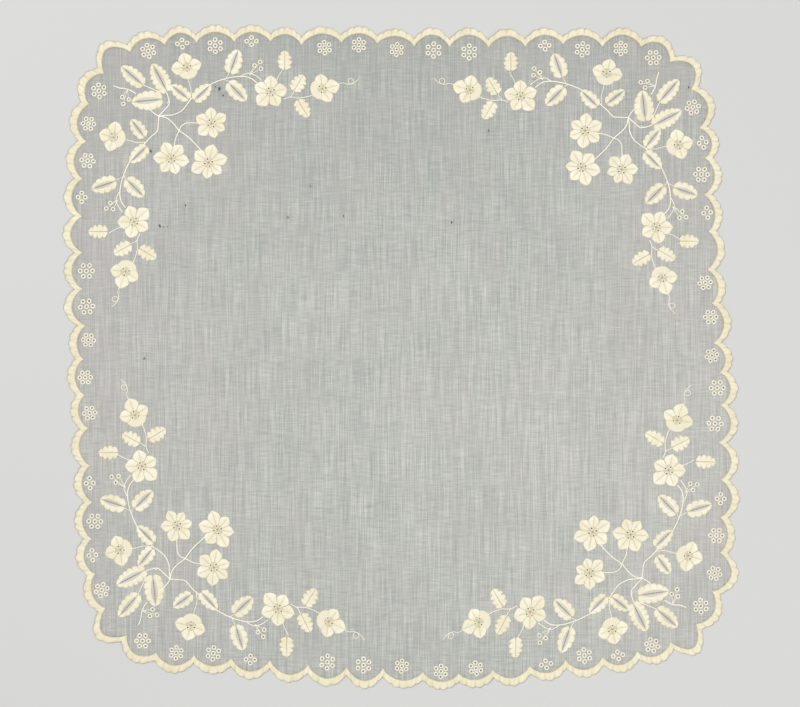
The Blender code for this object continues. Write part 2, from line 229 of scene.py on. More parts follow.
TENDRIL = Stem(0.5, (
    (88.6, 44.4), (92.4, 45.8), (95.6, 45.2), (98.2, 46.2), (98.6, 48.4), (96.6, 49.2),
    (95.4, 47.4), (96.4, 45.6), (99.2, 46.4), (102.2, 49.6),
))
Trio = namedtuple("Trio", "x y turn foot_x foot_y side_x side_y", defaults=(0.0, 0.0))
MIDDLE_TRIO = Trio(-42.9, 28.3, 10, -41.4, 34.8)
ARM_TRIO = Trio(40.1, 53.0, 66, 34.6, 46.6, -1.3, -1.5)
TRIO_REACH = 2.5
STEM_STEP = 0.7
STEM_THICKNESS = 0.86
STALK_WIDTH = 0.45
STALK_GAP = 1.7

# Worn places: small breaks in the weave, painted dark with shade, and one mended slit.
Flaw = namedtuple("Flaw", "x y length width turn")
FLAWS = (
    Flaw(-111.9, 166.2, 2.0, 1.2, 75), Flaw(-109.6, 162.1, 1.2, 0.8, 60),
    Flaw(-114.3, 167.6, 0.9, 0.6, 40), Flaw(-154.4, 127.6, 1.8, 0.9, 105),
    Flaw(-132.9, 93.9, 1.3, 0.7, 85), Flaw(-148.8, 81.2, 1.9, 1.0, 110),
    Flaw(-146.6, 80.6, 0.8, 0.6, 0), Flaw(-144.2, 80.7, 0.7, 0.5, 90),
    Flaw(-69.4, 86.5, 1.3, 0.7, 100), Flaw(-97.7, 184.4, 1.4, 0.8, 90),
    Flaw(-55.5, 105.7, 0.8, 0.6, 90), Flaw(-35.0, 87.4, 1.6, 0.6, 95),
    Flaw(32.0, 83.4, 1.4, 0.8, 80), Flaw(54.9, 140.4, 1.1, 0.7, 90),
    Flaw(-158.4, -0.9, 1.3, 0.8, 60), Flaw(201.2, -141.7, 2.2, 1.0, 75),
    Flaw(178.9, 167.1, 1.2, 0.8, 80), Flaw(182.6, 165.2, 1.0, 0.7, 60),
)
MEND_X = -179.2
MEND_LOW = -170.0
MEND_HIGH = -148.0
MEND_STITCHES = 27
MEND_REACH = 1.1
MEND_WIDTH = 0.28

GROUND = "#D3D4CD"
GROUND_THIN = "#AEB1AC"
GROUND_ROSY = "#C8BFBE"
FLOSS = "#F1ECD8"
# Painted shade for the cotton in its grooves, veins, partings, gaps and hollows.
FLOSS_DEEP = "#E5DCBF"
FLOSS_PAINTED_SHADE = "#B9B08F"
EDGE_FLOSS = "#EAE2C9"
EDGE_DEEP = "#DCD2B4"
STEM_FLOSS = "#E6E2D3"
RING_FLOSS = "#EEE7D1"
LADDER = "#C9C7C2"
LADDER_DEEP = "#B9B6B1"
FINE_FLOSS = "#E0DAC5"
# Painted shade for the needle holes and the worn breaks in the muslin.
HOLE_SHADE = "#33332F"
TABLE = "#C4C4C2"

# Painted light and shade on the cloth: lighter to the right, darker upwards, and darker towards its
# top and bottom.
PAINTED_LIGHT_RIGHT = 0.06
PAINTED_SHADE_UP = -0.12
PAINTED_SHADE_ENDS = -0.2

# The camera looks straight down, a few pixels above the cloth's middle.
PIXEL = 0.62
VIEW_PIXELS = 800
VIEW_RISE = 3.5
SENSOR = 36
TABLE_SIZE = 6


def linear(colour):
    """The linear RGB values of an sRGB hex colour."""
    shares = [int(colour[n:n + 2], 16) / 255 for n in (1, 3, 5)]
    return tuple(s / 12.92 if s <= 0.04045 else ((s + 0.055) / 1.055) ** 2.4 for s in shares)


# Settings that a user would change

class ClothSettings(bpy.types.PropertyGroup):
    """Sizes and colours of the sheer cloth."""

    thickness: FloatProperty(
        name="Thickness", description="Thickness of the muslin", default=0.00024, unit="LENGTH",
        precision=5,
    )
    height: FloatProperty(
        name="Height", description="Height of the muslin's middle above the table",
        default=0.00062, unit="LENGTH", precision=5,
    )
    grain: FloatProperty(
        name="Grain", description="Spacing of the points that let the cloth ripple",
        default=0.005, unit="LENGTH", precision=4,
    )
    colour: FloatVectorProperty(
        name="Muslin", description="Colour of a close patch of threads", subtype="COLOR",
        size=3, min=0, max=1, default=linear(GROUND),
    )
    thin_colour: FloatVectorProperty(
        name="Thin Muslin", description="Colour where the threads are thin", subtype="COLOR",
        size=3, min=0, max=1, default=linear(GROUND_THIN),
    )
    cover: FloatProperty(
        name="Cover", description="Share of the light that one face of the muslin stops",
        default=0.62, min=0, max=1, subtype="FACTOR",
    )


class StitchSettings(bpy.types.PropertyGroup):
    """Heights and colours of the needlework."""

    pad_rise: FloatProperty(
        name="Padding", description="Height of a padded petal or leaf over the cloth",
        default=0.00058, unit="LENGTH", precision=5,
    )
    band_rise: FloatProperty(
        name="Edge", description="Height of the buttonhole edge over the cloth",
        default=0.0005, unit="LENGTH", precision=5,
    )
    colour: FloatVectorProperty(
        name="Thread", description="Colour of the embroidery cotton", subtype="COLOR",
        size=3, min=0, max=1, default=linear(FLOSS),
    )
    deep_colour: FloatVectorProperty(
        name="Aged Thread", description="Colour of the cotton where it has yellowed",
        subtype="COLOR", size=3, min=0, max=1, default=linear(FLOSS_DEEP),
    )


class StageSettings(bpy.types.PropertyGroup):
    """The table, the light and the camera."""

    table_colour: FloatVectorProperty(
        name="Table", description="Colour of the plain table", subtype="COLOR",
        size=3, min=0, max=1, default=linear(TABLE),
    )
    light: FloatProperty(
        name="Light", description="Power of the main soft light", default=29.5, min=0,
        subtype="POWER", unit="POWER",
    )
    lens: FloatProperty(
        name="Lens", description="Focal length in millimetres", default=100, min=10, max=300,
    )


# Layout of the needlework

def unit(angle):
    return np.array((cos(radians(angle)), sin(radians(angle))))


def left_of(directions):
    return np.stack((-directions[..., 1], directions[..., 0]), -1)


def normal_length(vectors):
    return vectors / np.linalg.norm(vectors, axis=-1, keepdims=True)


def side_cusps(side):
    """The cusps between the scallops of one side, from its first to its last."""
    start = np.array((side.start_x, side.start_y))
    end = np.array((side.end_x, side.end_y))
    along = normal_length(end - start)
    share = (np.arange(SCALLOPS + 1) / SCALLOPS)[:, None]
    outs, slips = np.array(side.outs)[:, None], np.array(side.slips)[:, None]
    return start + (end - start) * share + along * slips + left_of(along) * outs


def lobe_waves(points):
    """The lobes along each scallop: 1 on a lobe, 0 in the notches between them."""
    lobes = np.concatenate([side.lobes for side in SIDES])[:, None]
    shifts = np.concatenate([side.shifts for side in SIDES])[:, None]
    t = np.arange(points) / points
    return np.abs(np.cos(np.pi * (lobes * t + shifts)))


def scallop_ring(inset, points, lobed=False):
    """A closed ring of scallops, clockwise, inset from the edge by a share of the band."""
    cusps = np.concatenate([side_cusps(side) for side in SIDES])
    depths = np.concatenate([side.depths for side in SIDES])[:, None]
    bands = np.repeat([side.band for side in SIDES], SCALLOPS + 1)[:, None]
    outward = left_of(normal_length(np.roll(cusps, -1, 0) - np.roll(cusps, 1, 0)))
    first = cusps - outward * bands * inset
    last = np.roll(first, -1, 0)
    crest = left_of(normal_length(last - first))[:, None]
    t = np.arange(points) / points
    arc = 4 * t * (1 - t)
    rise = depths * arc
    if lobed:
        rise = rise + LOBE_DEPTH * lobe_waves(points) * arc ** 0.35
    near = np.where((t < 0.5)[None, :, None], outward[:, None], np.roll(outward, -1, 0)[:, None])
    nib = NIB * inset * np.clip(1 - np.minimum(t, 1 - t) / NIB_SHARE, 0, 1)
    ring = first[:, None] + (last - first)[:, None] * t[:, None] + crest * rise[..., None]
    return (ring - near * nib[:, None]).reshape(-1, 2)


def cloth_middle():
    """The middle of the outline's box, where the solid has its origin."""
    ring = scallop_ring(0, EDGE_POINTS, lobed=True)
    return (ring.min(0) + ring.max(0)) / 2


MIDDLE = cloth_middle()


def place_in_corner(corner, mirrored):
    """A function that takes spray points to their places on the cloth."""
    quarter = unit(-90 * corner.quarter_turns)

    def place(points):
        points = np.asarray(points, float)
        x, y = points[..., 0], points[..., 1]
        if mirrored:
            x, y = -y, -x
        u, v = x / PULL_REACH, y / PULL_REACH
        terms = np.stack((np.ones_like(u), u, v, u * u, u * v, v * v), -1)
        local_x = SPRAY_X + x + terms @ np.array(corner.pull_x)
        local_y = SPRAY_Y + y + terms @ np.array(corner.pull_y)
        turned = local_x[..., None] * quarter + local_y[..., None] * left_of(quarter)
        return turned - MIDDLE

    return place


def on_side(item):
    """A motif as it stands on the side arm, before that arm is mirrored."""
    moved = {}
    for name in item._fields:
        if name in ("x", "tip_x", "base_x"):
            moved[name] = getattr(item, name) + item.side_x
        elif name in ("y", "tip_y", "base_y"):
            moved[name] = getattr(item, name) + item.side_y
    return item._replace(**moved)


Half = namedtuple("Half", "place flowers leaves leaflets trios stems")


def sprays():
    """Each corner's two halves. The middle group goes with the arm along the top."""
    stems = ARM_STEMS + (TENDRIL,)
    for corner in CORNERS:
        yield Half(
            place_in_corner(corner, False), MIDDLE_FLOWERS + ARM_FLOWERS,
            MIDDLE_LEAVES + ARM_LEAVES, ARM_LEAFLETS, (MIDDLE_TRIO, ARM_TRIO),
            MIDDLE_STEMS + (TOP_START,) + stems,
        )
        yield Half(
            place_in_corner(corner, True), [on_side(item) for item in ARM_FLOWERS],
            [on_side(item) for item in ARM_LEAVES], [on_side(item) for item in ARM_LEAFLETS],
            [on_side(ARM_TRIO)], (SIDE_START,) + stems,
        )


def lie(points):
    """Height of the muslin's middle, in millimetres, with the soft ripples it lies in."""
    x, y = points[..., 0], points[..., 1]
    ripple = 0.09 * np.sin(x / 31 + 0.6) * np.cos(y / 37 - 0.4)
    ripple = ripple + 0.05 * np.sin((x + y) / 23 + 1.3) + 0.035 * np.sin((x - 0.6 * y) / 13)
    return bpy.context.scene.kerchief_cloth.height / MM + ripple


# Eyelets and needle holes

Eyelet = namedtuple("Eyelet", "x y outer hole")


def cluster_eyelets():
    """The clusters of rings that follow the edge, inside the scallops."""
    found = []
    for side, slips in zip(SIDES, CLUSTER_SLIPS):
        cusps = side_cusps(side) - MIDDLE
        for first, last, cluster, slip in zip(cusps, cusps[1:], CLUSTERS, slips):
            along = normal_length(last - first)
            outward = left_of(along)
            centre = (first + last) / 2 - outward * cluster.inset + along * slip
            outer = min(RING_OUTER, cluster.spacing * RING_FILL)
            if cluster.rings == 7:
                spots = [(0, 0)] + [unit(90 + 60 * n) * cluster.spacing for n in range(6)]
            elif cluster.rings == 4:
                outer = RING_OUTER
                spots = [unit(90 * n) * (cluster.spacing, DIAMOND_HEIGHT) for n in range(4)]
            else:
                spots = []
            for x, y in spots:
                found.append(Eyelet(*(centre + along * x + outward * y), outer, RING_HOLE))
    return found


def trio_spots(trio):
    return [np.array((trio.x, trio.y)) + unit(trio.turn + 120 * n) * TRIO_REACH for n in range(3)]


def spray_eyelets():
    """The rings in the flowers' centres and the trios on the stems."""
    found = []
    for half in sprays():
        for flower in half.flowers:
            count = 3 if len(flower.petals) == 3 else 4
            for number in range(count):
                step = unit(centre_turn(flower) + 360 * number / count) * CENTRE_EYELETS
                spot = half.place(np.array((flower.x, flower.y)) + step)
                found.append(Eyelet(*spot, CENTRE_RING_OUTER, CENTRE_RING_HOLE))
        for trio in half.trios:
            for spot in trio_spots(trio):
                found.append(Eyelet(*half.place(spot), RING_OUTER * 0.95, RING_HOLE))
    return found


def across_leaf(leaf, along, across):
    """Points on a leaf: along from base to tip, across in millimetres to its left."""
    base = np.array((leaf.base_x, leaf.base_y))
    tip = np.array((leaf.tip_x, leaf.tip_y))
    side = left_of(normal_length(tip - base))
    return base + (tip - base) * np.asarray(along)[..., None] + side * np.asarray(across)[..., None]


def needle_holes():
    """Spots of painted shade for the tiny pulled holes down each open leaf and in each flower's
    middle.
    """
    found = []
    for half in sprays():
        for leaf in half.leaves:
            length = np.hypot(leaf.tip_x - leaf.base_x, leaf.tip_y - leaf.base_y)
            count = int(length * 0.64 / NEEDLE_STEP)
            for share in np.linspace(0.2, 0.84, count):
                found.append(half.place(across_leaf(leaf, share, 0.0)))
        found += [half.place((flower.x, flower.y)) for flower in half.flowers]
    return found


# Meshes

def clear_selection():
    for item in bpy.context.selected_objects:
        item.select_set(False)
    bpy.context.view_layer.objects.active = None


def read_template(item):
    """Takes a primitive's points and faces, and removes the primitive."""
    mesh = item.data
    points = np.empty(len(mesh.vertices) * 3)
    mesh.vertices.foreach_get("co", points)
    faces = np.array([tuple(face.vertices) for face in mesh.polygons])
    bpy.data.objects.remove(item)
    bpy.data.meshes.remove(mesh)
    return points.reshape(-1, 3), faces


def pad_template(across, along):
    """A closed pad: a grid extruded to a second layer. Points run 0 to 1 in X and Y."""
    clear_selection()
    bpy.ops.mesh.primitive_grid_add(
        x_subdivisions=across, y_subdivisions=along, size=1, location=(0, 0, 0)
    )
    item = bpy.context.object
    bpy.ops.object.mode_set(mode="EDIT")
    bpy.ops.mesh.select_all(action="SELECT")
    bpy.ops.mesh.extrude_region_move(TRANSFORM_OT_translate={"value": (0, 0, -1)})
    bpy.ops.mesh.select_all(action="SELECT")
    bpy.ops.mesh.normals_make_consistent(inside=False)
    bpy.ops.object.mode_set(mode="OBJECT")
    points, faces = read_template(item)
    points[:, :2] += 0.5
    return points, faces


def rolled_template(around, along):
    """A grid whose rows are read as places round and along a closed tube."""
    clear_selection()
    bpy.ops.mesh.primitive_grid_add(
        x_subdivisions=around, y_subdivisions=along, size=1, location=(0, 0, 0)
    )
    points, faces = read_template(bpy.context.object)
    slot = np.rint((points[:, 0] + 0.5) * around).astype(int) % around
    column = np.rint((points[:, 1] + 0.5) * along).astype(int) % along
    return slot, column, faces


def ring_template(around, through):
    """A torus about Z whose points are read as a place along it and a place round it."""
    clear_selection()
    bpy.ops.mesh.primitive_torus_add(
        major_segments=around, minor_segments=through, major_radius=1.0, minor_radius=0.4,
    )
    return read_template(bpy.context.object)


class Needlework:
    """Like pieces of stitching, gathered into one mesh with a map of the stitches."""

    def __init__(self):
        self.points = []
        self.faces = []
        self.stitches = []
        self.painted_shades = []
        self.count = 0

    def add(self, flat, heights, faces, stitches, painted_shades):
        """flat and heights in millimetres; heights are over the muslin's middle."""
        z = lie(flat) + heights
        self.points.append(np.column_stack((flat, z)) * MM)
        self.faces.append(faces + self.count)
        self.stitches.append(stitches)
        self.painted_shades.append(painted_shades)
        self.count += len(flat)

    def make(self, name, material):
        faces = np.concatenate(self.faces)
        mesh = bpy.data.meshes.new(name)
        mesh.from_pydata(np.concatenate(self.points), [], faces.tolist())
        stitches = np.concatenate(self.stitches)
        layer = mesh.uv_layers.new(name="stitches")
        layer.data.foreach_set("uv", stitches[faces.ravel()].astype(np.float32).ravel())
        # Painted shade for the grooves, veins and gaps, which the cotton's material reads.
        painted_shade = mesh.attributes.new("painted_shade", "FLOAT", "POINT")
        painted_shade.data.foreach_set("value", np.concatenate(self.painted_shades).astype(np.float32))
        mesh.materials.append(material)
        mesh.shade_smooth()
        item = bpy.data.objects.new(name, mesh)
        bpy.context.collection.objects.link(item)
        clear_selection()
        bpy.context.view_layer.objects.active = item
        item.select_set(True)
        bpy.ops.object.mode_set(mode="EDIT")
        bpy.ops.mesh.select_all(action="SELECT")
        bpy.ops.mesh.remove_doubles(threshold=0.001 * MM)
        bpy.ops.mesh.normals_make_consistent(inside=False)
        bpy.ops.object.mode_set(mode="OBJECT")
        item.select_set(False)
        return item


def finish_piece(item):
    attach(item, "root")


def spread(values, power):
    """Moves evenly spaced values in 0 to 1 towards both ends."""
    centred = 2 * values - 1
    return (1 + np.sign(centred) * np.abs(centred) ** power) / 2


def petal_reach(flower, index):
    """The angle and reach of a petal's tip, and the half angles on its two sides."""
    angle, reach = flower.petals[index]
    turns = sorted((other - angle) % 360 for other, _ in flower.petals if other != angle)
    left, right = turns[0] / 2, (360 - turns[-1]) / 2
    if left > PETAL_CROWD:
        left = HALF_BELL
    if right > PETAL_CROWD:
        right = HALF_BELL
    return angle, reach, left, right


def pillow(edge, power=4):
    """Height of a filled pad, from 0 at its edge (1) to 1 over its middle (0)."""
    return np.clip(1 - np.abs(edge) ** power, 0, 1) ** 0.5


def add_petal(work, template, flower, index, place, rise):
    """A padded petal, raised on both sides of the vein that the stitches leave."""
    points, faces = template
    angle, reach, left, right = petal_reach(flower, index)
    even = 2 * points[:, 0] - 1
    q = np.interp(np.abs(even), np.linspace(0, 1, len(VEIN_COLUMNS)), VEIN_COLUMNS)
    side = q * np.sign(even)
    along = spread(points[:, 1], 0.85)
    upper = points[:, 2] > -0.5
    half = np.where(side > 0, left, right)
    outline = reach * (1 - 0.2 * q ** 0.8 - 0.12 * q ** 4)
    angles = np.radians(angle + side * half * 0.985)
    radius = PETAL_BASE + (outline - PETAL_BASE) * along
    flat = np.stack((np.cos(angles), np.sin(angles)), -1) * radius[:, None]
    flat = flat + (flower.x, flower.y)
    across = np.radians(side * half) * radius
    vein = np.exp(-(across / 0.25) ** 2) * np.clip((0.95 - radius / reach) / 0.1, 0, 1)
    free = np.clip((radius / reach - 0.5) / 0.2, 0.06, 1)
    swell = (1 - (1 - pillow(side, 8)) * free) * np.where(along > 0.5, pillow(2 * along - 1, 9), 1)
    top = 0.08 + rise * swell * (0.75 + 0.25 * np.sin(np.pi * along)) * (1 - 0.5 * vein)
    heights = np.where(upper, top, -0.1 - 0.16 * swell)
    stitches = np.stack((radius * 0.5 + np.abs(across) * 0.87, across), -1)
    # Painted shade: darker towards the flower's middle, along the vein and at the partings; the
    # underside is shaded evenly.
    inside = np.clip((outline - radius) / 3.5, 0, 1) ** 0.7
    parting = np.clip((q - 0.9) / 0.1, 0, 1) * np.clip((0.8 - radius / reach) / 0.2, 0, 1)
    painted_shades = 0.2 * inside + 0.6 * vein + 0.1 * parting
    work.add(place(flat), heights, faces, stitches, np.where(upper, painted_shades, 0.3))


def add_bell(work, template, flower, place, rise):
    """The rounded back of a half-turned flower, worked in finer and lower stitches."""
    points, faces = template
    tips = sorted(petal[0] % 360 for petal in flower.petals)
    gaps = [((tips[(n + 1) % 3] - tip) % 360, tip) for n, tip in enumerate(tips)]
    gap, tip = max(gaps)
    start = tip + HALF_BELL - 4
    sweep = gap - 2 * HALF_BELL + 8
    side = points[:, 0]
    along = spread(points[:, 1], 0.85)
    upper = points[:, 2] > -0.5
    edge = np.abs(2 * side - 1)
    angles = np.radians(start + sweep * side)
    radius = PETAL_BASE - 0.6 + (BELL_REACH * (1 - 0.1 * edge ** 4) - PETAL_BASE + 0.6) * along
    flat = np.stack((np.cos(angles), np.sin(angles)), -1) * radius[:, None] + (flower.x, flower.y)
    swell = np.where(along > 0.5, pillow(2 * along - 1, 6), 1)
    heights = np.where(upper, 0.08 + rise * 0.5 * swell, -0.14 - 0.06 * swell)
    stitches = np.stack((angles * 5.5, radius), -1)
    # Painted shade, light over the back and darker towards its rim.
    painted_shades = 0.12 + 0.25 * np.clip((along - 0.85) / 0.15, 0, 1)
    work.add(place(flat), heights, faces, stitches, np.where(upper, painted_shades, 0.3))


def centre_template(count):
    """A small disc with a hole for each eyelet and one in the middle, made solid."""
    rings = [[unit(15 * n) * CENTRE_REACH for n in range(24)]]
    rings.append([unit(60 * n) * 0.4 for n in range(6)])
    for number in range(count):
        spot = unit(360 * number / count) * CENTRE_EYELETS
        rings.append([spot + unit(45 * n) * CENTRE_RING_HOLE / 2 for n in range(8)])
    points, edges, owner = [], [], []
    for number, ring in enumerate(rings):
        first = len(points)
        points += ring
        owner += [number] * len(ring)
        edges += [(first + n, first + (n + 1) % len(ring)) for n in range(len(ring))]
    for reach, steps in ((1.35, 12), (3.0, 18)):
        points += [unit(360 * (n + 0.5) / steps) * reach for n in range(steps)]
        owner += [-1] * steps
    found, _, faces, origins, _, _ = delaunay_2d_cdt(
        [Vector(p) for p in points], edges, [], 1, CUT_TOLERANCE
    )
    owners = [owner[origin[0]] if origin else -1 for origin in origins]
    kept = [face for face in faces if len({owners[i] for i in face}) > 1 or owners[face[0]] < 1]
    mesh = bpy.data.meshes.new("centre")
    mesh.from_pydata([(p.x, p.y, 0) for p in found], [], kept)
    item = bpy.data.objects.new("centre", mesh)
    bpy.context.collection.objects.link(item)
    clear_selection()
    bpy.context.view_layer.objects.active = item
    item.select_set(True)
    bpy.ops.object.mode_set(mode="EDIT")
    bpy.ops.mesh.select_all(action="SELECT")
    bpy.ops.mesh.extrude_region_move(TRANSFORM_OT_translate={"value": (0, 0, -1)})
    bpy.ops.mesh.select_all(action="SELECT")
    bpy.ops.mesh.quads_convert_to_tris()
    bpy.ops.mesh.delete_loose()
    bpy.ops.object.mode_set(mode="OBJECT")
    return read_template(item)


def centre_turn(flower):
    """Where a flower's first eyelet stands, as an angle."""
    return flower.petals[0][0] + (30 if len(flower.petals) > 3 else 42)


def add_centre(work, template, flower, place, rise):
    """The flat middle of a flower, with holes under its rings."""
    points, faces = template
    turn = centre_turn(flower)
    upper = points[:, 2] > -0.5
    flat = points[:, :1] * unit(turn) + points[:, 1:2] * left_of(unit(turn)) + (flower.x, flower.y)
    reach = np.hypot(points[:, 0], points[:, 1])
    heights = np.where(upper, 0.1 + rise * 0.42 * np.clip(reach / 1.2, 0.4, 1), -0.14)
    # Painted shade over the flat middle, between its rings.
    painted_shades = np.where(upper, 0.8, 0.7)
    work.add(place(flat), heights, faces, points[:, :2] * 0.7, painted_shades)


def add_leaf_half(work, template, leaf, hand, is_open, lobe_depth, place, rise):
    """One padded half of a leaf. Its outer edge is cut into lobes by its stitches."""
    points, faces = template
    length = np.hypot(leaf.tip_x - leaf.base_x, leaf.tip_y - leaf.base_y)
    lobes = max(4, round(length / LOBE_LENGTH))
    half_width = leaf.width / 2
    across = spread(points[:, 0], 0.8)
    along = points[:, 1]
    upper = points[:, 2] > -0.5
    body = np.clip(np.sin(np.pi * (0.16 + 0.84 * along)), 0, 1) ** 0.58
    wave = np.abs(np.sin(np.pi * lobes * along))
    fade = np.clip(5 * (1 - along), 0, 1)
    outer = half_width * body + lobe_depth * (wave ** 0.6 - 0.7) * fade
    outer = np.maximum(outer, 0.22)
    inner = leaf_slit(leaf, along) if is_open else 0.0
    inner = np.minimum(inner + 0.03, outer - 0.1)
    out = inner + (outer - inner) * across
    slant = 0.07 * across * np.sin(np.pi * along) * leaf.width / length
    heel = 0.9 / length * (2 * across - 1) ** 2 * np.clip(1 - along / 0.15, 0, 1)
    flat = across_leaf(leaf, along + slant + heel, hand * out)
    between = np.exp(-((wave * length / lobes / np.pi) / 0.32) ** 2) * across ** 1.5
    # A leaf with no opening is worked close, so its halves meet in a shallow vein.
    fall = np.where(across < 0.5, 1.0 if is_open else 0.8, 1.0)
    swell = pillow((2 * across - 1) * fall, 5) * pillow(2 * along - 1, 16)
    top = 0.08 + rise * swell * (1 - 0.5 * between)
    heights = np.where(upper, top, -0.1 - 0.16 * swell)
    stitches = np.stack((along * length + 0.45 * out, out), -1)
    # Painted shade over the whole half, darker between the lobes and along its inner edge.
    painted_shades = 0.2 + 0.6 * between * fade + 0.3 * np.clip(1 - across / 0.1, 0, 1)
    work.add(place(flat), heights, faces, stitches, np.where(upper, painted_shades, 0.3))


def leaf_slit(leaf, along):
    """Half the width of a leaf's opening, in millimetres."""
    share = np.sin(np.pi * np.clip((along - 0.13) / 0.76, 0, 1)) ** 0.7
    return SLIT_SHARE * leaf.width / 2 * share


def add_ladder(work, template, leaf, hand, place):
    """Half of the thin ladder of threads that fills an open leaf, beside its dark middle."""
    points, faces = template
    length = np.hypot(leaf.tip_x - leaf.base_x, leaf.tip_y - leaf.base_y)
    along = 0.14 + 0.74 * points[:, 1]
    closing = np.clip(np.minimum(points[:, 1], 1 - points[:, 1]) / 0.12, 0, 1)
    inner = LADDER_GAP * closing + 0.02
    outer = np.maximum(leaf_slit(leaf, along) + 0.3, inner + 0.1)
    out = inner + (outer - inner) * points[:, 0]
    heights = np.where(points[:, 2] > -0.5, 0.16 + 0.06 * points[:, 0], -0.13)
    stitches = np.stack((along * length, out), -1)
    flat = across_leaf(leaf, along, hand * out)
    # Painted shade, darker towards the dark middle of the opening.
    work.add(place(flat), heights, faces, stitches, 0.25 * (1 - points[:, 0]))


# Materials

def add_node(tree, kind, inputs=None, **settings):
    """Adds a node, makes its settings, and sets or links its inputs."""
    made = tree.nodes.new(kind)
    for name, value in settings.items():
        setattr(made, name, value)
    for name, value in (inputs or {}).items():
        if isinstance(value, bpy.types.NodeSocket):
            tree.links.new(value, made.inputs[name])
        else:
            made.inputs[name].default_value = value
    return made


def start_material(name, roughness):
    material = bpy.data.materials.new(name)
    material.use_nodes = True
    tree = material.node_tree
    shader = tree.nodes["Principled BSDF"]
    shader.inputs["Roughness"].default_value = roughness
    shader.inputs["IOR"].default_value = 1.5
    return material, tree, shader


def noise(tree, place, step_x, step_y, detail=2.0):
    """Noise over Object coordinates whose cells are step_x by step_y millimetres."""
    scale = (1 / (step_x * MM), 1 / (step_y * MM), 1 / (5 * MM))
    mapped = add_node(tree, "ShaderNodeMapping", {"Vector": place, "Scale": scale})
    return add_node(
        tree, "ShaderNodeTexNoise", {"Vector": mapped.outputs[0], "Scale": 1.0, "Detail": detail}
    ).outputs["Fac"]


def blend_of(tree, factor, first, second):
    """A colour between two, by a factor."""
    made = add_node(tree, "ShaderNodeMix", {0: factor, 6: first, 7: second}, data_type="RGBA")
    return made.outputs[2]


def weigh(tree, value, low, high, to_low=0.0, to_high=1.0):
    """A value brought from one range to another."""
    names = ("Value", "From Min", "From Max", "To Min", "To Max")
    inputs = dict(zip(names, (value, low, high, to_low, to_high)))
    return add_node(tree, "ShaderNodeMapRange", inputs).outputs["Result"]


def total(tree, *values):
    result = values[0]
    for value in values[1:]:
        result = add_node(tree, "ShaderNodeMath", {0: result, 1: value}, operation="ADD").outputs[0]
    return result


def times(tree, first, second):
    return add_node(tree, "ShaderNodeMath", {0: first, 1: second}, operation="MULTIPLY").outputs[0]


def muslin_material():
    """Plain-woven cotton muslin: a sheer, slubby ground with streaks down and across."""
    cloth = bpy.context.scene.kerchief_cloth
    material, tree, shader = start_material("plain_weave_muslin", 0.9)
    place = add_node(tree, "ShaderNodeTexCoord").outputs["Object"]
    # Threads lie about 0.35 mm apart, too fine to show, so the slubs are drawn 0.8 mm wide.
    warp = noise(tree, place, 0.8, 26, 3)
    broad_warp = noise(tree, place, 4.5, 110, 2)
    weft = noise(tree, place, 8, 0.85, 3)
    broad_weft = noise(tree, place, 34, 3.4, 2)
    cloud = noise(tree, place, 60, 60, 3)
    streaks = total(
        tree, times(tree, warp, 0.46), times(tree, broad_warp, 0.09), times(tree, weft, 0.29),
        times(tree, broad_weft, 0.08), times(tree, cloud, 0.08),
    )
    close = weigh(tree, streaks, 0.36, 0.64)
    # Painted shade darkens the cloth upwards and towards its top and bottom, and painted light
    # lightens it to the right, changing its sheerness with it. It turns a little rosy towards the
    # sides.
    axes = add_node(tree, "ShaderNodeSeparateXYZ", {0: place})
    right, up = times(tree, axes.outputs[0], 5), times(tree, axes.outputs[1], 5)
    painted_light_and_shade = total(
        tree, times(tree, right, PAINTED_LIGHT_RIGHT), times(tree, up, PAINTED_SHADE_UP),
        times(tree, times(tree, up, up), PAINTED_SHADE_ENDS),
    )
    close = total(tree, close, painted_light_and_shade)
    colour = blend_of(tree, close, (*cloth.thin_colour, 1), (*cloth.colour, 1))
    patches = weigh(tree, noise(tree, place, 26, 40, 2), 0.42, 0.62, 0, 0.22)
    rosy = total(tree, weigh(tree, times(tree, right, right), 0.1, 1.2, 0, 0.3), patches)
    colour = blend_of(tree, rosy, colour, (*linear(GROUND_ROSY), 1))
    # Painted shade: the needle holes and worn breaks are darkened and made less sheer, as if open
    # onto shadow.
    holes_painted_dark = add_node(tree, "ShaderNodeAttribute", attribute_name="holes_painted_dark").outputs["Fac"]
    colour = blend_of(tree, holes_painted_dark, colour, (*linear(HOLE_SHADE), 1))
    tree.links.new(colour, shader.inputs["Base Color"])
    cover = weigh(tree, close, 0, 1, cloth.cover - 0.14, cloth.cover + 0.14)
    tree.links.new(total(tree, cover, holes_painted_dark), shader.inputs["Alpha"])
    bump = add_node(tree, "ShaderNodeBump", {"Height": close, "Strength": 0.25, "Distance": 0.0001})
    tree.links.new(bump.outputs[0], shader.inputs["Normal"])
    return material


